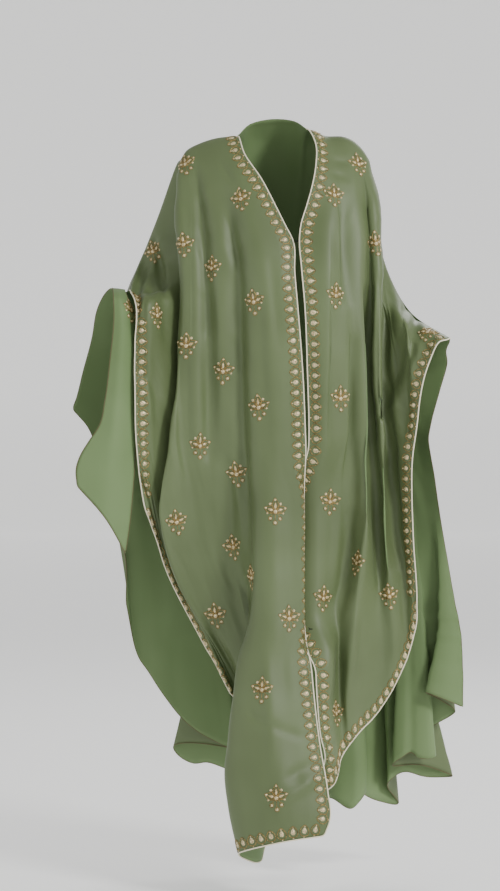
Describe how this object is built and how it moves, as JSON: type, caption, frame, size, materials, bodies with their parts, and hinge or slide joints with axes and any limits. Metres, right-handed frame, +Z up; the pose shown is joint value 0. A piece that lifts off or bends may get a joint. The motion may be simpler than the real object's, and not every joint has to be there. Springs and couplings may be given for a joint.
{
  "type": "open-front kaftan with wing sleeves",
  "caption": "Long open-front kaftan with wide wing sleeves, standing hollow in its worn, walking form, with bordered front edges, piping and hook fastenings.",
  "frame": {"origin": "between the two neck points, where the wearer's shoulders carry the garment", "axes": "+Z up, the front of the garment faces -Y, the wearer's left is +X"},
  "size_m": [0.7861, 0.5165, 1.4746],
  "materials": {
    "sage_crepe": "satin-backed crepe, soft sheen",
    "ivory_piping": "fine twisted cord",
    "dark_metal": "black lacquered"
  },
  "bodies": {
    "root": {"front_right": "sage_crepe", "front_left": "sage_crepe", "back": "sage_crepe", "piping_right": "ivory_piping", "piping_left": "ivory_piping", "hook_upper": "dark_metal", "hook_lower": "dark_metal"}
  },
  "joints": []
}
